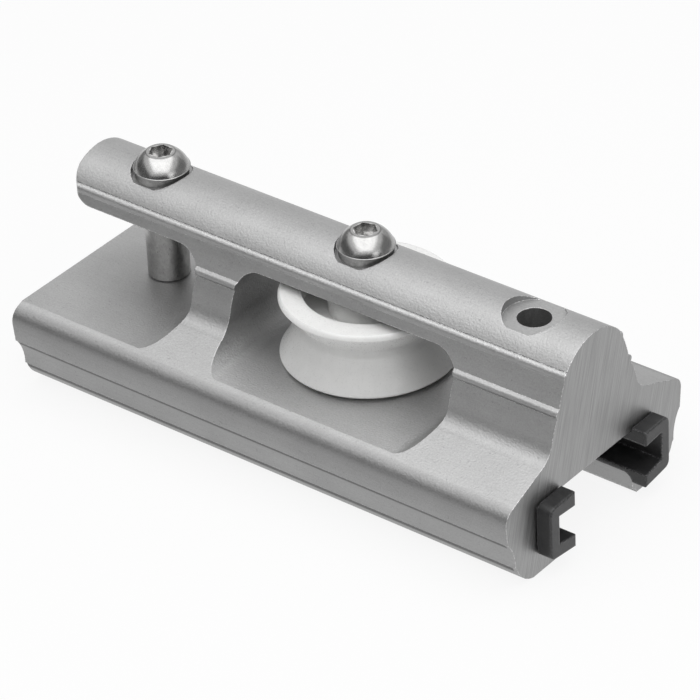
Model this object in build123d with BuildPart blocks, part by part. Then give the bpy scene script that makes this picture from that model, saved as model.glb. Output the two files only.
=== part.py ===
"""Track end stop: rail body on T-track liners, with a becket post and a turning sheave.

+X runs along the track towards the liner heads, +Y across it and +Z up. The origin is the
centre of the outline's base, so the lips of the body stand on Z = 0. Sizes are millimetres,
and sections are given as half widths (out from the centre plane) and heights.
"""
import os
from build123d import *

os.makedirs("parts", exist_ok=True)

# Body, overall
LENGTH = 114.0  # sawn length of the body
WIDTH = 53.0  # across the widest part of the two shoulders
HEIGHT = 41.1  # lips to crown

# Rail along the top of the body
CROWN_RADIUS = 10.05
CROWN_HALF = 7.95  # half the width of the crown's arc
LINE_WIDTH = 0.2  # fine groove between the crown and the upper bead
LINE_DEPTH = 0.12
BEAD_BULGE = 0.22  # how far each bead stands out of its chord
FLANK_BULGE = 0.12
RAIL_SETBACK = 0.8  # the rail's far end stops short of the base's far end
RAIL_CORNER_RADIUS = 4.6  # rounded upright corners of the rail's far end
RAIL_END_HALF = 9.6  # half width that the rounded corners are tangent to
RAIL_NOSE_RADIUS = 1.1  # rounded lower edge of the rail's far end

# Corners on the side of the rail, out from the crown's edge and down from it
UPPER_BEAD_OUT = 0.85
UPPER_BEAD_DROP = 1.45
UPPER_CREASE_OUT = 0.82
UPPER_CREASE_DROP = 1.7
FLANK_OUT = 2.41
FLANK_DROP = 6.4
LEDGE_OUT = 3.0
LEDGE_DROP = 6.7
LOWER_BEAD_OUT = 3.2
LOWER_BEAD_DROP = 7.85
LOWER_CREASE_OUT = 3.03
LOWER_CREASE_DROP = 8.05

# Web and shoulders
WEB_HALF = 12.75
WEB_FOOT_Z = 24.6  # where the web turns into the hollow fillet at its foot
WEB_BULGE = 0.2
HOLLOW_DEPTH = 0.65  # how far the hollow fillet lies inside its chord
SHOULDER_INNER_HALF = 16.2  # where the hollow fillet runs out into the shoulder
SHOULDER_INNER_Z = 21.15
SHOULDER_END_Z = 15.0  # where the shoulder's rounded edge turns into the side
SHOULDER_ROUND_IN = 1.8  # the rounded edge starts this far in from the side
SHOULDER_ROUND_UP = 2.75  # and this far above its end

# Stepped sides and lips
SIDE_DRAFT = 0.4  # the side leans in by this much down to the upper step
STEP_UPPER_Z = 10.9
STEP_LOWER_Z = 4.9
STEP = 0.45
WAIST_IN = 2.4  # the side below the upper step draws in by this much
WAIST_DEPTH = 0.5
HEEL_BULGE = 0.85  # how far the heel of the lip stands out of its chord
LIP_FLAT_HALF = 18.95  # outer edge of the flat underside of a lip
LIP_HALF = 11.2  # half the opening between the two lips
LIP_RADIUS = 1.2

# Channel for the track
ROOF_Z = 14.3  # roof of the channel, which rests on the track
GROOVE_Z = 4.95  # floor of the liner grooves, on top of the lips
GROOVE_HALF = 17.6  # half the distance between the backs of the liner grooves

# Cuts right through the web
FLOOR_Z = 18.3  # milled floor of the notch and of the sheave pocket
CEILING_Z = 33.75  # underside of the rail over both cuts
CUT_RADIUS = 5.0
NOTCH_END = 32.75  # the notch runs from the far end to here
POCKET_START = 41.75
POCKET_END = 91.6

# Screw stations, the first two measured from the far end
POST_STATION = 16.25
SHEAVE_STATION = 64.05
FASTENING_FROM_NEAR = 12.7  # the fastening hole is measured from the near end
CLEARANCE_RADIUS = 3.15  # clearance hole for an M6 screw
SCREW_RADIUS = 3.0
SEAT_RADIUS = 5.8  # counterbores in the crown
SEAT_DEPTH = 1.55

# Domed screws with a hexagon socket, and the rings under their heads
HEAD_RADIUS = 5.25
HEAD_HEIGHT = 3.3
HEAD_RIM = 0.3
HEAD_FLAT_RADIUS = 2.75
HEAD_BULGE = 0.34
SOCKET_FLATS = 4.0
SOCKET_DEPTH = 2.1
SCREW_END_CHAMFER = 0.5
SCREW_END_Z = 14.8  # the screws stop just short of the channel's roof
RING_RADIUS = 5.05
RING_HEIGHT = 1.7
POST_SOCKET_TURN = -3.0  # degrees
SHEAVE_SOCKET_TURN = 20.0

# Becket post, and the fixed bush that the sheave turns on
POST_RADIUS = 4.0
BUSH_RADIUS = 5.0
SLEEVE_BORE = 3.1
SLEEVE_CHAMFER = 0.3

# Sheave and thrust washers
RIM_LOWER_RADIUS = 16.6
RIM_UPPER_RADIUS = 16.4
RIM_LOWER_Z = 18.95
RIM_UPPER_Z = 32.25
RIM_ROUNDING = 0.5
RIM_BULGE = 0.12
THROAT_RADIUS = 12.7  # bottom of the V groove
THROAT_Z = 26.1
THROAT_HALF = 1.15  # half the height of the rounded bottom of the V
THROAT_BULGE = 0.5
RUNNING_GAP = 0.05  # between bore and bush, on the radius
HUB_RADIUS = 7.4
HUB_LOWER_Z = 18.9
HUB_UPPER_Z = 33.1
RECESS_RADIUS = 12.1
RECESS_DEPTH = 4.0
WASHER_RADIUS = 7.2
WASHER_THICK = 0.5

# Liners in the grooves of the channel, each with a thicker head outside the near end
LINER_TIP = 10.7  # half the opening between the arms
SLOT_BACK = 15.6  # back of the slot for the track's flange
SLOT_LOW_TIP_Z = 5.8
SLOT_LOW_BACK_Z = 6.65
SLOT_HIGH_TIP_Z = 12.2
SLOT_HIGH_BACK_Z = 12.6
LINER_SHORT = 0.5  # the liner's far end lies this far inside the body
HEAD_GAP = 0.3  # the head stands off the sawn end
HEAD_OUT = 3.4  # outer face of the head, from the sawn end
LINER_HEAD_HALF = 18.0
LINER_HEAD_TOP_Z = 15.0
LINER_HEAD_TIP_Z = 3.25
LINER_HEAD_FOOT_Z = 4.15
LINER_HEAD_CORNER = 1.5
LINER_HEAD_EDGE = 0.35
FLARE = 1.5  # hollow fillet in front of the lip, from the head back along the lower arm
FLARE_RADIUS = 2.2
FLARE_THICK = 0.45

# Places worked out from the sizes above
X_FAR = -(LENGTH + HEAD_OUT) / 2
X_NEAR = X_FAR + LENGTH
X_POST = X_FAR + POST_STATION
X_SHEAVE = X_FAR + SHEAVE_STATION
X_FASTENING = X_NEAR - FASTENING_FROM_NEAR
SIDE = WIDTH / 2
SEAT_Z = HEIGHT - SEAT_DEPTH
HEAD_Z = SEAT_Z + RING_HEIGHT
CUT_MIDDLE_Z = (FLOOR_Z + CEILING_Z) / 2
CUT_HEIGHT = CEILING_Z - FLOOR_Z
CROWN_CENTER_Z = HEIGHT - CROWN_RADIUS
CROWN_EDGE_Z = CROWN_CENTER_Z + (CROWN_RADIUS**2 - CROWN_HALF**2) ** 0.5
SHEAVE_BORE = BUSH_RADIUS + RUNNING_GAP
SHEAVE_AXIS = Axis((X_SHEAVE, 0, 0), (0, 0, 1))


def beside_crown(out, drop):
    """Point of the section, out from the crown's edge and down from it."""
    return (CROWN_HALF + out, CROWN_EDGE_Z - drop)


# Body: one half of the extruded section and its mirror image, then the cuts
with BuildPart() as body:
    with BuildSketch(Plane.YZ.offset(X_FAR)):
        with BuildLine():
            # Crown, the fine line beside it and the upper bead
            crown = RadiusArc((0, HEIGHT), (CROWN_HALF, CROWN_EDGE_Z), CROWN_RADIUS)
            line_outer = crown @ 1 + (crown % 1) * LINE_WIDTH
            line_bottom = (crown @ 1 + line_outer) / 2 - (crown % 1).rotate(Axis.Z, 90) * LINE_DEPTH
            Polyline(crown @ 1, line_bottom, line_outer)
            bead_upper = SagittaArc(line_outer, beside_crown(UPPER_BEAD_OUT, UPPER_BEAD_DROP), BEAD_BULGE)
            crease_upper = Line(bead_upper @ 1, beside_crown(UPPER_CREASE_OUT, UPPER_CREASE_DROP))

            # Flank of the rail and the lower bead
            flank = SagittaArc(crease_upper @ 1, beside_crown(FLANK_OUT, FLANK_DROP), FLANK_BULGE)
            ledge = Line(flank @ 1, beside_crown(LEDGE_OUT, LEDGE_DROP))
            bead_lower = SagittaArc(ledge @ 1, beside_crown(LOWER_BEAD_OUT, LOWER_BEAD_DROP), BEAD_BULGE)
            crease_lower = Line(bead_lower @ 1, beside_crown(LOWER_CREASE_OUT, LOWER_CREASE_DROP))

            # Web and the hollow fillet at its foot, sloping shoulder and its rounded edge
            web = SagittaArc(crease_lower @ 1, (WEB_HALF, WEB_FOOT_Z), WEB_BULGE)
            hollow = SagittaArc(web @ 1, (SHOULDER_INNER_HALF, SHOULDER_INNER_Z), -HOLLOW_DEPTH)
            slope = Line(hollow @ 1, (SIDE - SHOULDER_ROUND_IN, SHOULDER_END_Z + SHOULDER_ROUND_UP))
            shoulder = TangentArc(slope @ 1, (SIDE, SHOULDER_END_Z), tangent=slope % 1)

            # Side with its two steps, heel of the lip, lip
            side = Line(shoulder @ 1, (SIDE - SIDE_DRAFT, STEP_UPPER_Z))
            step_upper = Line(side @ 1, (SIDE - SIDE_DRAFT - STEP, STEP_UPPER_Z - STEP))
            waist = SagittaArc(step_upper @ 1, (SIDE - WAIST_IN, STEP_LOWER_Z), -WAIST_DEPTH)
            step_lower = Line(waist @ 1, (SIDE - WAIST_IN - STEP, STEP_LOWER_Z - STEP))
            heel = SagittaArc(step_lower @ 1, (LIP_FLAT_HALF, 0), HEEL_BULGE)
            underside = Line(heel @ 1, (LIP_HALF + LIP_RADIUS, 0))
            lip = RadiusArc(underside @ 1, (LIP_HALF, LIP_RADIUS), -LIP_RADIUS)
            Polyline(
                lip @ 1,
                (LIP_HALF, GROOVE_Z),
                (GROOVE_HALF, GROOVE_Z),
                (GROOVE_HALF, ROOF_Z),
                (0, ROOF_Z),
                (0, HEIGHT),
            )
        make_face()
        mirror(about=Plane.YZ)
    extrude(amount=LENGTH)

    # Notch for the becket, open at the far end, and pocket for the sheave
    with BuildSketch(Plane.XZ.offset(-WIDTH)):
        with Locations((X_FAR + NOTCH_END / 2 - CUT_RADIUS, CUT_MIDDLE_Z)):
            RectangleRounded(NOTCH_END + 2 * CUT_RADIUS, CUT_HEIGHT, CUT_RADIUS)
        with Locations((X_FAR + (POCKET_START + POCKET_END) / 2, CUT_MIDDLE_Z)):
            RectangleRounded(POCKET_END - POCKET_START, CUT_HEIGHT, CUT_RADIUS)
    extrude(amount=2 * WIDTH, mode=Mode.SUBTRACT)

    # Far end of the rail: set back, with rounded upright corners and a rounded lower edge
    with BuildSketch(Plane.XY.offset(CEILING_Z)):
        with Locations((X_FAR, 0)):
            Rectangle(2 * (RAIL_SETBACK + RAIL_CORNER_RADIUS), WIDTH)
        with Locations((X_FAR + RAIL_SETBACK + LENGTH / 2, 0)):
            RectangleRounded(LENGTH, 2 * RAIL_END_HALF, RAIL_CORNER_RADIUS, mode=Mode.SUBTRACT)
    extrude(amount=HEIGHT, mode=Mode.SUBTRACT)
    rail_end = body.edges().filter_by_position(Axis.Z, CEILING_Z, CEILING_Z).filter_by_position(
        Axis.X, X_FAR, X_FAR + RAIL_SETBACK + RAIL_CORNER_RADIUS
    )
    fillet(rail_end, RAIL_NOSE_RADIUS)

    # Counterbores in the crown over all three stations
    with BuildSketch(Plane.XY.offset(SEAT_Z)):
        with Locations((X_POST, 0), (X_SHEAVE, 0), (X_FASTENING, 0)):
            Circle(SEAT_RADIUS)
    extrude(amount=SEAT_DEPTH + 1, mode=Mode.SUBTRACT)

    # Clearance holes through the rail, and tapped holes below them in the base
    with BuildSketch(Plane.XY.offset(CUT_MIDDLE_Z)):
        with Locations((X_POST, 0), (X_SHEAVE, 0)):
            Circle(CLEARANCE_RADIUS)
    extrude(amount=HEIGHT - CUT_MIDDLE_Z, mode=Mode.SUBTRACT)
    with BuildSketch(Plane.XY.offset(ROOF_Z - 1)):
        with Locations((X_POST, 0), (X_SHEAVE, 0)):
            Circle(SCREW_RADIUS)
    extrude(amount=CUT_MIDDLE_Z - ROOF_Z, mode=Mode.SUBTRACT)

    # Open hole down to the track for the fastening screw
    with BuildSketch(Plane.XY.offset(ROOF_Z - 1)):
        with Locations((X_FASTENING, 0)):
            Circle(CLEARANCE_RADIUS)
    extrude(amount=HEIGHT - ROOF_Z + 1, mode=Mode.SUBTRACT)
body.part.label = "body"
export_step(body.part, "parts/body.step")

# Sheave: V groove between two rims, both faces recessed around the hub
with BuildPart() as sheave:
    with BuildSketch(Plane((X_SHEAVE, 0, 0), x_dir=(1, 0, 0), z_dir=(0, -1, 0))):
        with BuildLine():
            bore = Line((SHEAVE_BORE, HUB_UPPER_Z), (SHEAVE_BORE, HUB_LOWER_Z))
            lower_face = Polyline(
                bore @ 1,
                (HUB_RADIUS, HUB_LOWER_Z),
                (HUB_RADIUS, RIM_LOWER_Z + RECESS_DEPTH - 1),
                (RECESS_RADIUS, RIM_LOWER_Z + RECESS_DEPTH - 1),
                (RECESS_RADIUS, RIM_LOWER_Z),
                (RIM_LOWER_RADIUS - RIM_ROUNDING, RIM_LOWER_Z),
            )
            lower_rim = SagittaArc(lower_face @ 1, (RIM_LOWER_RADIUS, RIM_LOWER_Z + RIM_ROUNDING), -RIM_BULGE)
            lower_wall = Line(lower_rim @ 1, (THROAT_RADIUS + THROAT_BULGE, THROAT_Z - THROAT_HALF))
            throat = SagittaArc(
                lower_wall @ 1, (THROAT_RADIUS + THROAT_BULGE, THROAT_Z + THROAT_HALF), THROAT_BULGE
            )
            upper_wall = Line(throat @ 1, (RIM_UPPER_RADIUS, RIM_UPPER_Z - 2 * RIM_ROUNDING))
            upper_rim = SagittaArc(upper_wall @ 1, (RIM_UPPER_RADIUS - RIM_ROUNDING, RIM_UPPER_Z), -RIM_BULGE)
            Polyline(
                upper_rim @ 1,
                (RECESS_RADIUS, RIM_UPPER_Z),
                (RECESS_RADIUS, RIM_UPPER_Z - RECESS_DEPTH),
                (HUB_RADIUS, RIM_UPPER_Z - RECESS_DEPTH),
                (HUB_RADIUS, HUB_UPPER_Z),
                bore @ 0,
            )
        make_face()
    revolve(axis=SHEAVE_AXIS)
sheave.part.label = "sheave"
export_step(sheave.part, "parts/sheave.step")

# Fixed bush the sheave turns on, clamped between the pocket's floor and the rail
with BuildPart() as sheave_bush:
    with BuildSketch(Plane.XY.offset(FLOOR_Z)):
        with Locations((X_SHEAVE, 0)):
            Circle(BUSH_RADIUS)
            Circle(SLEEVE_BORE, mode=Mode.SUBTRACT)
    extrude(amount=CUT_HEIGHT)
sheave_bush.part.label = "sheave_bush"
export_step(sheave_bush.part, "parts/sheave_bush.step")

# Thrust washers below and above the sheave's hub
with BuildPart() as washer_lower:
    with BuildSketch(Plane.XY.offset(FLOOR_Z)):
        with Locations((X_SHEAVE, 0)):
            Circle(WASHER_RADIUS)
            Circle(BUSH_RADIUS, mode=Mode.SUBTRACT)
    extrude(amount=WASHER_THICK)
washer_lower.part.label = "washer_lower"
export_step(washer_lower.part, "parts/washer_lower.step")

with BuildPart() as washer_upper:
    with BuildSketch(Plane.XY.offset(CEILING_Z - WASHER_THICK)):
        with Locations((X_SHEAVE, 0)):
            Circle(WASHER_RADIUS)
            Circle(BUSH_RADIUS, mode=Mode.SUBTRACT)
    extrude(amount=WASHER_THICK)
washer_upper.part.label = "washer_upper"
export_step(washer_upper.part, "parts/washer_upper.step")

# Becket post: plain sleeve with broken outer edges
with BuildPart() as becket_post:
    with BuildSketch(Plane.XY.offset(FLOOR_Z)):
        with Locations((X_POST, 0)):
            Circle(POST_RADIUS)
            Circle(SLEEVE_BORE, mode=Mode.SUBTRACT)
    extrude(amount=CUT_HEIGHT)
    outer_rims = becket_post.edges().filter_by(GeomType.CIRCLE).filter_by(
        lambda edge: edge.radius > (POST_RADIUS + SLEEVE_BORE) / 2
    )
    chamfer(outer_rims, SLEEVE_CHAMFER)
becket_post.part.label = "becket_post"
export_step(becket_post.part, "parts/becket_post.step")


def build_collar(station_x):
    """Ring between a screw head and the seat of its counterbore."""
    with BuildPart() as collar:
        with BuildSketch(Plane.XY.offset(SEAT_Z)):
            with Locations((station_x, 0)):
                Circle(RING_RADIUS)
                Circle(CLEARANCE_RADIUS, mode=Mode.SUBTRACT)
        extrude(amount=RING_HEIGHT)
    return collar


def build_screw(station_x, socket_turn):
    """Domed screw with a hexagon socket, reaching down into the tapped hole."""
    with BuildPart() as screw:
        with BuildSketch(Plane((station_x, 0, 0), x_dir=(1, 0, 0), z_dir=(0, -1, 0))):
            with BuildLine():
                shank = Polyline(
                    (0, SCREW_END_Z),
                    (SCREW_RADIUS - SCREW_END_CHAMFER, SCREW_END_Z),
                    (SCREW_RADIUS, SCREW_END_Z + SCREW_END_CHAMFER),
                    (SCREW_RADIUS, HEAD_Z),
                    (HEAD_RADIUS - HEAD_RIM, HEAD_Z),
                    (HEAD_RADIUS, HEAD_Z + HEAD_RIM),
                )
                dome = SagittaArc(shank @ 1, (HEAD_FLAT_RADIUS, HEAD_Z + HEAD_HEIGHT), -HEAD_BULGE)
                Polyline(dome @ 1, (0, HEAD_Z + HEAD_HEIGHT), shank @ 0)
            make_face()
        revolve(axis=Axis((station_x, 0, 0), (0, 0, 1)))
        with BuildSketch(Plane.XY.offset(HEAD_Z + HEAD_HEIGHT)):
            with Locations((station_x, 0)):
                RegularPolygon(SOCKET_FLATS / 2, 6, major_radius=False, rotation=socket_turn)
        extrude(amount=-SOCKET_DEPTH, mode=Mode.SUBTRACT)
    return screw


post_collar = build_collar(X_POST)
post_collar.part.label = "post_collar"
export_step(post_collar.part, "parts/post_collar.step")

sheave_collar = build_collar(X_SHEAVE)
sheave_collar.part.label = "sheave_collar"
export_step(sheave_collar.part, "parts/sheave_collar.step")

post_screw = build_screw(X_POST, POST_SOCKET_TURN)
post_screw.part.label = "post_screw"
export_step(post_screw.part, "parts/post_screw.step")

sheave_screw = build_screw(X_SHEAVE, SHEAVE_SOCKET_TURN)
sheave_screw.part.label = "sheave_screw"
export_step(sheave_screw.part, "parts/sheave_screw.step")

# Rear liner: strip that fills its groove, head outside the near end, slot for the track
with BuildPart() as liner_rear:
    with BuildSketch(Plane.YZ.offset(X_FAR + LINER_SHORT)):
        Polygon(
            (LINER_TIP, GROOVE_Z),
            (GROOVE_HALF, GROOVE_Z),
            (GROOVE_HALF, ROOF_Z),
            (LINER_TIP, ROOF_Z),
            align=None,
        )
    extrude(amount=LENGTH - LINER_SHORT + HEAD_GAP)

    # Head, with rounded outer corners and edges
    with BuildSketch(Plane.YZ.offset(X_NEAR + HEAD_GAP)) as head_section:
        Polygon(
            (LINER_TIP, LINER_HEAD_TIP_Z),
            (LINER_HEAD_HALF, LINER_HEAD_FOOT_Z),
            (LINER_HEAD_HALF, LINER_HEAD_TOP_Z),
            (LINER_TIP, LINER_HEAD_TOP_Z),
            align=None,
        )
        fillet(head_section.vertices().group_by(Axis.X)[-1], LINER_HEAD_CORNER)
    extrude(amount=HEAD_OUT - HEAD_GAP)
    fillet(liner_rear.faces().sort_by(Axis.X)[-1].edges(), LINER_HEAD_EDGE)

    # Hollow fillet in front of the lip, from the head back along the lower arm
    with BuildSketch(Plane.XZ.offset(-LINER_TIP)):
        with BuildLine():
            sweep_up = RadiusArc((X_NEAR - FLARE, GROOVE_Z), (X_NEAR + HEAD_GAP, LINER_HEAD_TIP_Z), FLARE_RADIUS)
            Polyline(sweep_up @ 1, (X_NEAR + HEAD_GAP, GROOVE_Z), sweep_up @ 0)
        make_face()
    extrude(amount=-FLARE_THICK)

    # Slot that takes the edge of the track
    with BuildSketch(Plane.YZ.offset(X_FAR)):
        Polygon(
            (LINER_TIP, SLOT_LOW_TIP_Z),
            (SLOT_BACK, SLOT_LOW_BACK_Z),
            (SLOT_BACK, SLOT_HIGH_BACK_Z),
            (LINER_TIP, SLOT_HIGH_TIP_Z),
            align=None,
        )
    extrude(amount=LENGTH + HEAD_OUT, mode=Mode.SUBTRACT)
liner_rear.part.label = "liner_rear"
export_step(liner_rear.part, "parts/liner_rear.step")

# Front liner: mirror image of the rear one
with BuildPart() as liner_front:
    mirror(liner_rear.part, about=Plane.XZ)
liner_front.part.label = "liner_front"
export_step(liner_front.part, "parts/liner_front.step")
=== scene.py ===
"""Look of the track end stop: camera, studio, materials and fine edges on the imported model.

Everything is in metres in the part's own frame: +X along the track towards the liner heads,
+Y across it, +Z up, with the undersides of the lips on Z = 0.
"""
import math

import bpy
from mathutils import Matrix, Vector


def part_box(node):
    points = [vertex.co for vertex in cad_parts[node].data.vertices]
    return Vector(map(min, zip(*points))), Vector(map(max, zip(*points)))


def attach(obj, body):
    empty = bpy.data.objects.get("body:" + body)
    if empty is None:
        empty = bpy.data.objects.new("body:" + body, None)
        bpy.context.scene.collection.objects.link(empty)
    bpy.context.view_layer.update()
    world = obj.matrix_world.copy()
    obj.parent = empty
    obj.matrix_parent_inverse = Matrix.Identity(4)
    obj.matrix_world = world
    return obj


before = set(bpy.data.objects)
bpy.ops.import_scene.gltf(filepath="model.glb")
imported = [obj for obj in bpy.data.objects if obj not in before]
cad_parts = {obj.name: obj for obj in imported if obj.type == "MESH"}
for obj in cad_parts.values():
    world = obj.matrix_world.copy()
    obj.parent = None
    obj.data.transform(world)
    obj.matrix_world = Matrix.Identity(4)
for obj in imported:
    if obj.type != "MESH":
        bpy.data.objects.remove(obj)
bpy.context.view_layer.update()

MM = 0.001

# Camera: angles in degrees, and the point on its axis at the stated distance
CAMERA_AZIMUTH = 39.664
CAMERA_ELEVATION = 33.669
CAMERA_ROLL = -2.869
CAMERA_DISTANCE = 811.5 * MM
CAMERA_AIM = Vector((10.88, -12.63, 27.67)) * MM
CAMERA_LENS = 234.3  # on the sensor below, both in millimetres
CAMERA_SENSOR = 36
CAMERA_CLIP = (0.05, 20)  # nearest and furthest that it sees, in metres

# Places on the body that the materials need, from the frame and the shape of its section
BODY_LOW, BODY_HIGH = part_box("body")
FAR_END_X = BODY_LOW.x
NEAR_END_X = BODY_HIGH.x
FLOOR_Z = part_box("becket_post")[0].z  # milled floor of the notch and of the sheave pocket
NOTCH_TO_POCKET_X = -22.0 * MM  # in the web between the notch and the pocket
BEAD_Y = 8.2 * MM  # half the distance between the upper beads beside the crown
BEAD_Z = BODY_HIGH.z - 4.35 * MM
LINE_Z = BODY_HIGH.z - 3.98 * MM  # the fine line above each upper bead
SHOULDER_Y = BODY_HIGH.y - 2.5 * MM  # where the top of the shoulder turns over into the side
SHOULDER_Z = 17.0 * MM
STEPS_Z = (10.9 * MM, 4.9 * MM)  # the two steps along each side

# Screws and their rims
SOCKET_RADIUS = 2.2 * MM  # round the hexagon socket
HEAD_TOP_RADIUS = 2.75 * MM  # where the dome meets the flat top
RIM_WIRE = 0.15 * MM  # half the thickness of the rolled rim round the head's foot
RIM_TURNS = 96
RIM_SIDES = 10

# Cosines of the angle between the rounded and the plain normal, and between an end facet and X
OFF_EDGE = 0.995
ON_EDGE = 0.92
SQUARE_ON = 0.985

# Finish of the aluminium, and the light and shade painted on it, in brightness where 1 is white
ALUMINIUM_SHADE = 0.365
WEAR_AND_HIGHLIGHT_SHADE = 0.55  # added where an edge is worn bright, and as a painted highlight on top of the upper beads
PIT_SHADE = -0.07  # added in the small pits
SAWN_SHADE = -0.025  # added on the sawn ends
LINE_PAINTED_SHADE = 0.4  # share of painted shade in the fine line, standing in for the shadow in its crease
SHOULDER_PAINTED_SHADE = 0.28  # share of painted shade where the shoulder turns over, standing in for the shade of a rounder turn
NOTCH_GAIN = 0.06  # painted light added on the milled floor of the pocket, which the sheave and crown shade
POCKET_PAINTED_LIGHT = 0.32  # and of the pocket
SAW_LEAN = 15.6  # degrees that the saw marks lean from upright
ALUMINIUM_ROUNDING = 0.2 * MM
PEEL_DEPTH = 0.045 * MM  # relief of the blasted skin and of the saw marks

# Finish of the other pieces, with some light and shade painted on them
ACETAL_SHADES = (0.67, 0.77)  # below and above the groove; the darker one below is painted shade
ACETAL_GLOW_REACH = 3 * MM  # how far light travels beneath its surface
SATIN_SHADE = 0.36
TURNED_SHADE = 0.3
STEEL_TINT = (1.0, 0.995, 0.985)
LINER_ROUNDING = 0.6 * MM
LINER_END_PAINTED_LIGHT = 0.018  # painted light added on the liners' faces towards +X

# Studio levels, where 1 is white
ROOM_LEVEL = 0.45
SOFTBOX_LEVEL = 1.62
STRIP_LEVEL = 1.8
FLOOR_SHADE = 0.8
FLOOR_GLOW = 0.88  # share of plain white in what the camera and reflections see of the floor

# Studio places in metres, as seen from the object: angles are from the camera's azimuth, to its right
FLOOR_HALF = 1.6
SOFTBOX_HEIGHT = 0.7
SOFTBOX_SIDES = (-0.84, 0.7)  # left and right edge, as shares of its height
SOFTBOX_ENDS = (-0.42, 1.3)  # rear and front edge, as shares of its height
STRIP_ANGLE = 37
STRIP_ELEVATION = 21
STRIP_DISTANCE = 0.95
STRIP_SIZE = (0.34, 0.2)
CARD_DISTANCE = 1.0
CARDS = (  # name, angle, width, height and level
    ("card_left", -92, 1.85, 0.6, 0.15),
    ("card_rear_left", -142, 0.6, 0.4, 0.3),
    ("card_front", 5, 2.7, 0.5, 0.03),
    ("card_right", 95, 1.4, 0.72, 0.31),
    ("card_rear_right", 145, 0.6, 0.4, 0.65),
)


def centre(node):
    """Middle of a CAD node's box."""
    low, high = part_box(node)
    return (low + high) / 2


def make_camera():
    """Camera at the photograph's viewing angle."""
    azimuth = math.radians(CAMERA_AZIMUTH)
    elevation = math.radians(CAMERA_ELEVATION)
    roll = math.radians(CAMERA_ROLL)
    back = Vector(
        (
            math.sin(azimuth) * math.cos(elevation),
            -math.cos(azimuth) * math.cos(elevation),
            math.sin(elevation),
        )
    )
    level_right = Vector((math.cos(azimuth), math.sin(azimuth), 0))
    level_up = back.cross(level_right)
    right = level_right * math.cos(roll) + level_up * math.sin(roll)
    up = back.cross(right)
    data = bpy.data.cameras.new("camera")
    data.lens = CAMERA_LENS
    data.sensor_width = CAMERA_SENSOR
    data.clip_start, data.clip_end = CAMERA_CLIP
    camera = bpy.data.objects.new("camera", data)
    axes = Matrix((right, up, back)).transposed().to_4x4()
    camera.matrix_world = Matrix.Translation(CAMERA_AIM + back * CAMERA_DISTANCE) @ axes
    bpy.context.scene.collection.objects.link(camera)
    bpy.context.scene.camera = camera


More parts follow.
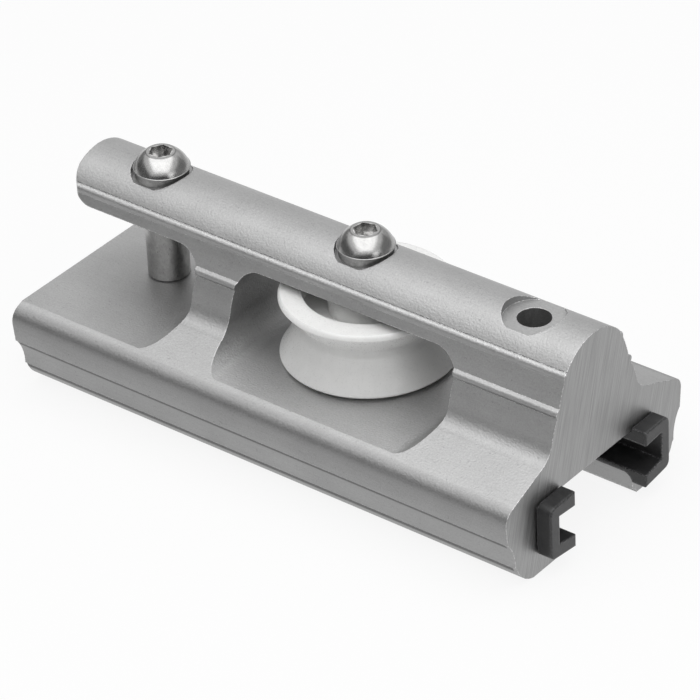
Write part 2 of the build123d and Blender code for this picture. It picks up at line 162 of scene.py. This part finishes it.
class Nodes:
    """Short names for building one material's node tree."""

    def __init__(self, name):
        self.material = bpy.data.materials.new(name)
        self.material.use_nodes = True
        self.tree = self.material.node_tree
        self.shader = self.tree.nodes["Principled BSDF"]
        self.place = self.tree.nodes.new("ShaderNodeTexCoord").outputs["Object"]
        self.x, self.y, self.z = self.split(self.place)

    def feed(self, socket, value):
        """Gives a socket a plain value, or links it to the output of another node."""
        if isinstance(value, bpy.types.NodeSocket):
            self.tree.links.new(value, socket)
        else:
            socket.default_value = value

    def dress(self, values):
        """Gives the shader's named sockets their values, and returns the material."""
        for name, value in values.items():
            self.feed(self.shader.inputs[name], value)
        return self.material

    def split(self, vector):
        """The three parts of a vector."""
        node = self.tree.nodes.new("ShaderNodeSeparateXYZ")
        self.feed(node.inputs[0], vector)
        return tuple(node.outputs)

    def mapped(self, scale, turn):
        """The place in millimetres, turned about X by degrees and then stretched along each axis."""
        turned = self.tree.nodes.new("ShaderNodeMapping")
        turned.inputs["Rotation"].default_value = (math.radians(turn), 0, 0)
        self.feed(turned.inputs["Vector"], self.place)
        node = self.tree.nodes.new("ShaderNodeMapping")
        node.inputs["Scale"].default_value = [factor / MM for factor in scale]
        self.feed(node.inputs["Vector"], turned.outputs["Vector"])
        return node.outputs["Vector"]

    def noise(self, cells, detail=3.0, roughness=0.5, turn=0):
        """Noise with so many cells a millimetre: one number, or one for each axis."""
        scale = cells if isinstance(cells, tuple) else (cells, cells, cells)
        node = self.tree.nodes.new("ShaderNodeTexNoise")
        node.inputs["Scale"].default_value = 1.0
        node.inputs["Detail"].default_value = detail
        node.inputs["Roughness"].default_value = roughness
        self.feed(node.inputs["Vector"], self.mapped(scale, turn))
        return node.outputs["Fac"]

    def facing(self, kind):
        """The three parts of the surface's own normal: the facets' True Normal, or the smooth Normal."""
        node = self.tree.nodes.new("ShaderNodeNewGeometry")
        return self.split(node.outputs[kind])

    def edges(self, radius):
        """How near a point lies to a sharp edge, from 0 to 1, and the normal rounded over such edges."""
        bevel = self.tree.nodes.new("ShaderNodeBevel")
        bevel.samples = 6
        bevel.inputs["Radius"].default_value = radius
        geometry = self.tree.nodes.new("ShaderNodeNewGeometry")
        cosine = self.tree.nodes.new("ShaderNodeVectorMath")
        cosine.operation = "DOT_PRODUCT"
        self.feed(cosine.inputs[0], bevel.outputs["Normal"])
        self.feed(cosine.inputs[1], geometry.outputs["Normal"])
        return self.share(cosine.outputs["Value"], OFF_EDGE, ON_EDGE), bevel.outputs["Normal"]

    def ranged(self, value, low, high, from_low=0.3, from_high=0.7):
        """Value mapped to run from low to high, as noise mostly runs from 0.3 to 0.7, and held beyond."""
        node = self.tree.nodes.new("ShaderNodeMapRange")
        node.inputs["From Min"].default_value = from_low
        node.inputs["From Max"].default_value = from_high
        node.inputs["To Min"].default_value = low
        node.inputs["To Max"].default_value = high
        self.feed(node.inputs["Value"], value)
        return node.outputs["Result"]

    def spread(self, noise, amount):
        """Noise that runs from amount below 0 to amount above it."""
        return self.ranged(noise, -amount, amount)

    def share(self, value, start, end):
        """0 where value is start, rising to 1 where it is end, whichever of the two is larger."""
        return self.ranged(value, 0.0, 1.0, start, end)

    def compute(self, operation, first, second=None):
        """One step of arithmetic on numbers or on the outputs of other nodes."""
        node = self.tree.nodes.new("ShaderNodeMath")
        node.operation = operation
        self.feed(node.inputs[0], first)
        if second is not None:
            self.feed(node.inputs[1], second)
        return node.outputs["Value"]

    def joined(self, operation, values):
        """The values taken together by one operation, from first to last."""
        result = values[0]
        for value in values[1:]:
            result = self.compute(operation, result, value)
        return result

    def total(self, *values):
        """The values added up."""
        return self.joined("ADD", values)

    def product(self, *values):
        """The values multiplied."""
        return self.joined("MULTIPLY", values)

    def greatest(self, *values):
        """The greatest of the values."""
        return self.joined("MAXIMUM", values)

    def above(self, value, limit):
        """1 where value is above limit, or else 0."""
        return self.compute("GREATER_THAN", value, limit)

    def below(self, value, limit):
        """1 where value is below limit, or else 0."""
        return self.compute("LESS_THAN", value, limit)

    def apart(self, value, middle):
        """How far value is from middle, on either side."""
        return self.compute("ABSOLUTE", self.compute("SUBTRACT", value, middle))

    def outward(self):
        """How far a point lies from the centre plane."""
        return self.compute("ABSOLUTE", self.y)

    def mixed(self, factor, first, second):
        """First where factor is 0, second where it is 1, for numbers."""
        node = self.tree.nodes.new("ShaderNodeMix")
        node.data_type = "FLOAT"
        self.feed(node.inputs[0], factor)
        self.feed(node.inputs[2], first)
        self.feed(node.inputs[3], second)
        return node.outputs[0]

    def grey(self, value, tint=(1.0, 1.0, 1.0)):
        """A grey of that brightness, lightly tinted."""
        node = self.tree.nodes.new("ShaderNodeMix")
        node.data_type = "RGBA"
        node.blend_type = "MULTIPLY"
        node.inputs[0].default_value = 1.0
        self.feed(node.inputs[6], value)
        node.inputs[7].default_value = (*tint, 1.0)
        return node.outputs[2]

    def bump(self, height, depth, normal=None):
        """Normal of a relief where a height of 1 stands out by depth."""
        node = self.tree.nodes.new("ShaderNodeBump")
        node.inputs["Strength"].default_value = 1.0
        node.inputs["Distance"].default_value = depth
        self.feed(node.inputs["Height"], height)
        if normal is not None:
            self.feed(node.inputs["Normal"], normal)
        return node.outputs["Normal"]


def sawn_ends(nodes):
    """1 on the body's two sawn ends, or else 0."""
    near = nodes.above(nodes.x, NEAR_END_X - 0.05 * MM)
    far = nodes.below(nodes.x, FAR_END_X + 0.05 * MM)
    endward = nodes.compute("ABSOLUTE", nodes.facing("True Normal")[0])
    return nodes.product(nodes.greatest(near, far), nodes.above(endward, SQUARE_ON))


def wear_and_painted_highlight(nodes, edge, nicks):
    """How bright the metal is rubbed along sharp edges, and a painted highlight on top of the upper
    beads.
    """
    on_edge = nodes.product(edge, nodes.share(nicks, 0.45, 0.6))
    # Painted highlight along the top of each upper bead
    on_bead = nodes.product(
        nodes.share(nodes.apart(nodes.z, BEAD_Z), 0.35 * MM, 0.1 * MM),
        nodes.above(nodes.outward(), BEAD_Y - 0.3 * MM),
    )
    return nodes.greatest(on_edge, nodes.product(on_bead, nodes.ranged(nicks, 0.1, 0.4)))


def painted_crease_shade(nodes, nicks):
    """Share of painted shade, in the fine lines and beneath the two steps of each side, where shadow
    falls.
    """
    in_line = nodes.product(
        nodes.ranged(nodes.apart(nodes.z, LINE_Z), LINE_PAINTED_SHADE, 0.0, 0.05 * MM, 0.17 * MM),
        nodes.above(nodes.outward(), BEAD_Y - 0.5 * MM),
    )
    under_steps = [
        nodes.product(
            nodes.share(nodes.z, step_z - 1.5 * MM, step_z - 1.1 * MM),
            nodes.below(nodes.z, step_z),
            nodes.above(nodes.outward(), SHOULDER_Y - 1.6 * MM),
        )
        for step_z in STEPS_Z
    ]
    short_of_end = nodes.below(nodes.x, NEAR_END_X - 0.9 * MM)
    uneven = nodes.ranged(nicks, 0.5, 0.72)
    return nodes.product(nodes.greatest(in_line, *under_steps), short_of_end, uneven)


def painted_shoulder_shade(nodes):
    """Painted shade: share of the light taken off the shoulder as it turns over into the side."""
    beyond = nodes.share(nodes.outward(), SHOULDER_Y, SHOULDER_Y + 1.1 * MM)
    high_up = nodes.share(nodes.z, SHOULDER_Z - 7 * MM, SHOULDER_Z)
    return nodes.product(beyond, high_up, SHOULDER_PAINTED_SHADE)


def floor_lift_and_painted_light(nodes):
    """Share that the milled floors are brighter by, where they are level and low in their coves: a small
    lift on the notch's floor, and painted light on the pocket's floor.
    """
    level = nodes.share(nodes.facing("Normal")[2], 0.935, 1.0)
    low = nodes.below(nodes.z, FLOOR_Z + 1.2 * MM)
    gain = nodes.mixed(nodes.above(nodes.x, NOTCH_TO_POCKET_X), NOTCH_GAIN, POCKET_PAINTED_LIGHT)
    return nodes.product(level, low, gain)


def make_aluminium():
    """Blasted, anodised aluminium with worn edges, milled floors and sawn ends, painted shade in its
    lines, under its steps and where its shoulders turn over, painted light on the pocket's floor and
    painted highlights on its upper beads.
    """
    nodes = Nodes("aluminium")
    end_face = sawn_ends(nodes)
    edge, rounded = nodes.edges(ALUMINIUM_ROUNDING)

    grain = nodes.noise(3.4, detail=4.0, roughness=0.8)
    peel = nodes.noise(2.4, detail=1.0)
    pits = nodes.share(nodes.noise(2.2, detail=2.0), 0.66, 0.72)
    cloud = nodes.noise(0.12, detail=2.0)
    drawn = nodes.noise((0.15, 4.0, 4.0), detail=2.0)
    sawn = nodes.noise((0.5, 4.5, 0.1), detail=4.0, roughness=0.6, turn=SAW_LEAN)
    nicks = nodes.noise(3.0, roughness=0.7)

    blasted = nodes.total(
        nodes.spread(grain, 0.055),
        nodes.spread(drawn, 0.01),
        nodes.spread(cloud, 0.012),
        nodes.product(pits, PIT_SHADE),
    )
    brushed = nodes.total(nodes.spread(sawn, 0.08), SAWN_SHADE)
    # Painted shade in the fine lines, beneath the steps and where the shoulders turn over
    painted_darkening = nodes.greatest(painted_crease_shade(nodes, nicks), painted_shoulder_shade(nodes))
    kept = nodes.mixed(end_face, nodes.compute("SUBTRACT", 1.0, painted_darkening), 1.0)
    # Brightness kept after the painted shade, raised by painted light on the pocket's floor
    shade = nodes.product(
        nodes.total(nodes.mixed(end_face, blasted, brushed), ALUMINIUM_SHADE),
        nodes.total(kept, floor_lift_and_painted_light(nodes)),
    )
    # Worn edges, and a painted highlight on the upper beads
    worn_and_highlight = nodes.product(wear_and_painted_highlight(nodes, edge, nicks), WEAR_AND_HIGHLIGHT_SHADE)
    rough = nodes.mixed(end_face, nodes.ranged(grain, 0.45, 0.55), nodes.ranged(sawn, 0.36, 0.5))
    relief = nodes.mixed(end_face, nodes.total(peel, nodes.product(grain, 0.5)), sawn)
    return nodes.dress(
        {
            "Base Color": nodes.grey(nodes.total(shade, worn_and_highlight)),
            "Roughness": rough,
            "Metallic": 1.0,
            "Normal": nodes.bump(relief, PEEL_DEPTH, rounded),
        }
    )


def make_acetal():
    """White turned acetal: soft sheen, slightly translucent, and greyer below the sheave's groove with
    painted shade.
    """
    nodes = Nodes("acetal")
    cloud = nodes.noise(0.6)
    speck = nodes.noise(3.0, detail=2.0)
    groove_z = centre("sheave").z
    # Painted shade: greyer below the groove, the plain shade above it
    base_and_painted_shade = nodes.ranged(nodes.z, *ACETAL_SHADES, groove_z - 3 * MM, groove_z + 1 * MM)
    return nodes.dress(
        {
            "Base Color": nodes.grey(nodes.total(base_and_painted_shade, nodes.spread(cloud, 0.015)), (1.0, 1.0, 0.99)),
            "Roughness": nodes.ranged(speck, 0.26, 0.34),
            "Subsurface Weight": 0.6,
            "Subsurface Radius": (1.0, 1.0, 1.0),
            "Subsurface Scale": ACETAL_GLOW_REACH,
            "IOR": 1.48,
            "Normal": nodes.bump(speck, 0.004 * MM),
        }
    )


def make_steel(name, shade, rough, cells):
    """Stainless steel: shade and roughness vary a little, over a fine grain."""
    nodes = Nodes(name)
    grain = nodes.noise(cells, roughness=0.6)
    patch = nodes.noise(0.8, detail=4.0, roughness=0.65)
    bright = nodes.total(nodes.ranged(grain, shade - 0.04, shade + 0.04), nodes.spread(patch, 0.07))
    return nodes.dress(
        {
            "Base Color": nodes.grey(bright, STEEL_TINT),
            "Roughness": nodes.ranged(grain, rough - 0.03, rough + 0.05),
            "Metallic": 1.0,
            "Normal": nodes.bump(grain, 0.01 * MM),
        }
    )


def make_screw_steel(screw):
    """Satin stainless button head: painted light mottling its socket, and a painted dark line of shade
    round its flat top.
    """
    nodes = Nodes(screw + "_steel")
    off_x = nodes.compute("SUBTRACT", nodes.x, centre(screw).x)
    squares = nodes.total(nodes.product(off_x, off_x), nodes.product(nodes.y, nodes.y))
    radius = nodes.compute("SQRT", squares)
    grain = nodes.noise(5.0, roughness=0.7)
    patch = nodes.noise(0.9, detail=2.0)
    polished = nodes.total(nodes.ranged(grain, 0.33, 0.4), nodes.spread(patch, 0.025))
    # Painted shade: a dark line round the edge of the flat top
    painted_dark_line = nodes.ranged(nodes.apart(radius, HEAD_TOP_RADIUS), 0.5, 0.0, 0.05 * MM, 0.2 * MM)
    with_painted_line = nodes.mixed(painted_dark_line, polished, 0.05)
    # Painted light and reflection, mottled, inside the socket
    painted_socket_light = nodes.ranged(patch, 0.3, 0.7, 0.4, 0.6)
    bright = nodes.mixed(nodes.below(radius, SOCKET_RADIUS), with_painted_line, painted_socket_light)
    return nodes.dress(
        {
            "Base Color": nodes.grey(bright, STEEL_TINT),
            "Roughness": nodes.ranged(grain, 0.2, 0.27),
            "Metallic": 1.0,
            "Normal": nodes.bump(grain, 0.006 * MM),
        }
    )


def make_liner_plastic():
    """Charcoal moulded plastic with a satin grain, slight scuffs, specks on its edges, and painted light
    on its faces towards +X.
    """
    nodes = Nodes("liner_plastic")
    grain = nodes.noise(4.0)
    scuff = nodes.noise((0.5, 0.9, 0.9), detail=4.0)
    edge, rounded = nodes.edges(LINER_ROUNDING)
    # Painted light on the faces towards +X
    toward_x_end = nodes.above(nodes.facing("True Normal")[0], 0.9)
    bright = nodes.total(
        nodes.ranged(grain, 0.013, 0.025),
        nodes.ranged(scuff, -0.004, 0.006),
        nodes.product(toward_x_end, LINER_END_PAINTED_LIGHT),
        nodes.product(edge, nodes.ranged(grain, 0.0, 0.16, 0.46, 0.62)),
    )
    return nodes.dress(
        {
            "Base Color": nodes.grey(bright, (1.0, 1.0, 1.03)),
            "Roughness": nodes.ranged(scuff, 0.36, 0.5),
            "Normal": nodes.bump(grain, 0.02 * MM, rounded),
        }
    )


def make_rim(screw, collar, material):
    """Fine rolled rim, a closed ring of round wire that lies on the collar round the screw's head."""
    low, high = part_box(screw)
    head_radius = (high.x - low.x) / 2
    middle = centre(screw)
    middle.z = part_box(collar)[1].z + RIM_WIRE
    points = []
    faces = []
    for turn in range(RIM_TURNS):
        around = 2 * math.pi * turn / RIM_TURNS
        outward = Vector((math.cos(around), math.sin(around), 0))
        for side in range(RIM_SIDES):
            across = 2 * math.pi * side / RIM_SIDES
            rise = Vector((0, 0, RIM_WIRE * math.sin(across)))
            points.append(middle + outward * (head_radius + RIM_WIRE * math.cos(across)) + rise)
            here = turn * RIM_SIDES
            ahead = (turn + 1) % RIM_TURNS * RIM_SIDES
            beside = (side + 1) % RIM_SIDES
            faces.append((here + side, ahead + side, ahead + beside, here + beside))
    name = screw + "_rim"
    mesh = bpy.data.meshes.new(name)
    mesh.from_pydata(points, [], faces)
    for polygon in mesh.polygons:
        polygon.use_smooth = True
    mesh.materials.append(material)
    rim = bpy.data.objects.new(name, mesh)
    bpy.context.scene.collection.objects.link(rim)
    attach(rim, "stop")


def paint(material, *names):
    """Gives CAD nodes one material."""
    for name in names:
        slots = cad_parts[name].data.materials
        slots.clear()
        slots.append(material)


def studio_direction(angle, elevation=0):
    """Unit vector towards a place in the studio, at an angle to the right of the camera."""
    around = math.radians(CAMERA_AZIMUTH + angle)
    up = math.radians(elevation)
    return Vector((math.sin(around) * math.cos(up), -math.cos(around) * math.cos(up), math.sin(up)))


def area_light(name, place, facing, size, level):
    """Soft rectangular lamp at a place, facing a direction, whose surface has that brightness."""
    data = bpy.data.lights.new(name, "AREA")
    data.shape = "RECTANGLE"
    data.size, data.size_y = size
    data.energy = level * math.pi * size[0] * size[1]
    lamp = bpy.data.objects.new(name, data)
    back = -facing
    straight_down = abs(back.z) > 0.99
    right = studio_direction(90) if straight_down else Vector((0, 0, 1)).cross(back)
    right.normalize()
    axes = Matrix((right, back.cross(right), back)).transposed().to_4x4()
    lamp.matrix_world = Matrix.Translation(place) @ axes
    bpy.context.scene.collection.objects.link(lamp)


def make_lamps():
    """Softbox above and in front of the object, and a small strip to the right of the camera."""
    left, right = (share * SOFTBOX_HEIGHT for share in SOFTBOX_SIDES)
    rear, front = (share * SOFTBOX_HEIGHT for share in SOFTBOX_ENDS)
    middle = studio_direction(90) * (left + right) / 2 + studio_direction(0) * (rear + front) / 2
    middle.z = SOFTBOX_HEIGHT
    area_light("softbox", middle, Vector((0, 0, -1)), (right - left, front - rear), SOFTBOX_LEVEL)
    strip_way = studio_direction(STRIP_ANGLE, STRIP_ELEVATION)
    area_light("strip", strip_way * STRIP_DISTANCE, -strip_way, STRIP_SIZE, STRIP_LEVEL)


def white_rays(tree):
    """1 for the rays that should see a white background: camera, glossy and transmission rays."""
    path = tree.nodes.new("ShaderNodeLightPath")
    white = path.outputs["Is Camera Ray"]
    for name in ("Is Glossy Ray", "Is Transmission Ray"):
        either = tree.nodes.new("ShaderNodeMath")
        either.operation = "MAXIMUM"
        tree.links.new(white, either.inputs[0])
        tree.links.new(path.outputs[name], either.inputs[1])
        white = either.outputs[0]
    return white


def make_world():
    """White surroundings for the camera and for reflections, a plain grey level for the rest."""
    world = bpy.data.worlds.new("studio")
    world.use_nodes = True
    bpy.context.scene.world = world
    tree = world.node_tree
    tree.nodes.clear()
    output = tree.nodes.new("ShaderNodeOutputWorld")
    mix = tree.nodes.new("ShaderNodeMixShader")
    tree.links.new(white_rays(tree), mix.inputs["Fac"])
    for level, socket in ((ROOM_LEVEL, mix.inputs[1]), (1.0, mix.inputs[2])):
        background = tree.nodes.new("ShaderNodeBackground")
        background.inputs["Color"].default_value = (1, 1, 1, 1)
        background.inputs["Strength"].default_value = level
        tree.links.new(background.outputs[0], socket)
    tree.links.new(mix.outputs[0], output.inputs["Surface"])


def stage_sheet(name, corners, material):
    """Flat sheet of the studio set, which isn't part of the object."""
    mesh = bpy.data.meshes.new(name)
    mesh.from_pydata(corners, [], [(0, 1, 2, 3)])
    mesh.materials.append(material)
    sheet = bpy.data.objects.new(name, mesh)
    bpy.context.scene.collection.objects.link(sheet)
    return sheet


def make_floor():
    """Pale paper floor: nearly white where it is seen, and it keeps a light shadow."""
    material = bpy.data.materials.new("paper")
    material.use_nodes = True
    nodes = material.node_tree.nodes
    links = material.node_tree.links
    shader = nodes["Principled BSDF"]
    shader.inputs["Base Color"].default_value = (FLOOR_SHADE, FLOOR_SHADE, FLOOR_SHADE, 1)
    shader.inputs["Roughness"].default_value = 0.9
    shader.inputs["Specular IOR Level"].default_value = 0.2
    glow = nodes.new("ShaderNodeEmission")
    glow.inputs["Color"].default_value = (1, 1, 1, 1)
    glow.inputs["Strength"].default_value = 1.0
    share = nodes.new("ShaderNodeMath")
    share.operation = "MULTIPLY"
    share.inputs[1].default_value = FLOOR_GLOW
    blend = nodes.new("ShaderNodeMixShader")
    links.new(white_rays(material.node_tree), share.inputs[0])
    links.new(share.outputs[0], blend.inputs["Fac"])
    links.new(shader.outputs[0], blend.inputs[1])
    links.new(glow.outputs[0], blend.inputs[2])
    links.new(blend.outputs[0], nodes["Material Output"].inputs["Surface"])
    near, far = -FLOOR_HALF, FLOOR_HALF
    stage_sheet("floor", [(near, near, 0), (far, near, 0), (far, far, 0), (near, far, 0)], material)


def make_card(name, angle, width, height, level):
    """Grey card standing round the set, out of view, that shapes the reflections."""
    material = bpy.data.materials.new(name)
    material.use_nodes = True
    nodes = material.node_tree.nodes
    nodes.clear()
    output = nodes.new("ShaderNodeOutputMaterial")
    tone = nodes.new("ShaderNodeEmission")
    tone.inputs["Color"].default_value = (1, 1, 1, 1)
    tone.inputs["Strength"].default_value = level
    material.node_tree.links.new(tone.outputs[0], output.inputs["Surface"])
    middle = studio_direction(angle) * CARD_DISTANCE
    across = studio_direction(angle + 90) * width / 2
    rise = Vector((0, 0, height))
    corners = [middle - across, middle + across, middle + across + rise, middle - across + rise]
    card = stage_sheet(name, corners, material)
    card.visible_camera = False


make_camera()
make_world()
make_floor()
make_lamps()
for card in CARDS:
    make_card(*card)

satin = make_steel("satin_steel", SATIN_SHADE, rough=0.3, cells=(6.0, 6.0, 1.5))
turned = make_steel("turned_steel", TURNED_SHADE, rough=0.48, cells=5.0)
paint(make_aluminium(), "body")
paint(make_acetal(), "sheave", "washer_lower", "washer_upper")
paint(make_liner_plastic(), "liner_front", "liner_rear")
paint(satin, "sheave_bush", "becket_post")
paint(turned, "post_collar", "sheave_collar")
for screw, collar in (("post_screw", "post_collar"), ("sheave_screw", "sheave_collar")):
    paint(make_screw_steel(screw), screw)
    make_rim(screw, collar, satin)

bpy.context.scene.view_settings.view_transform = "Standard"
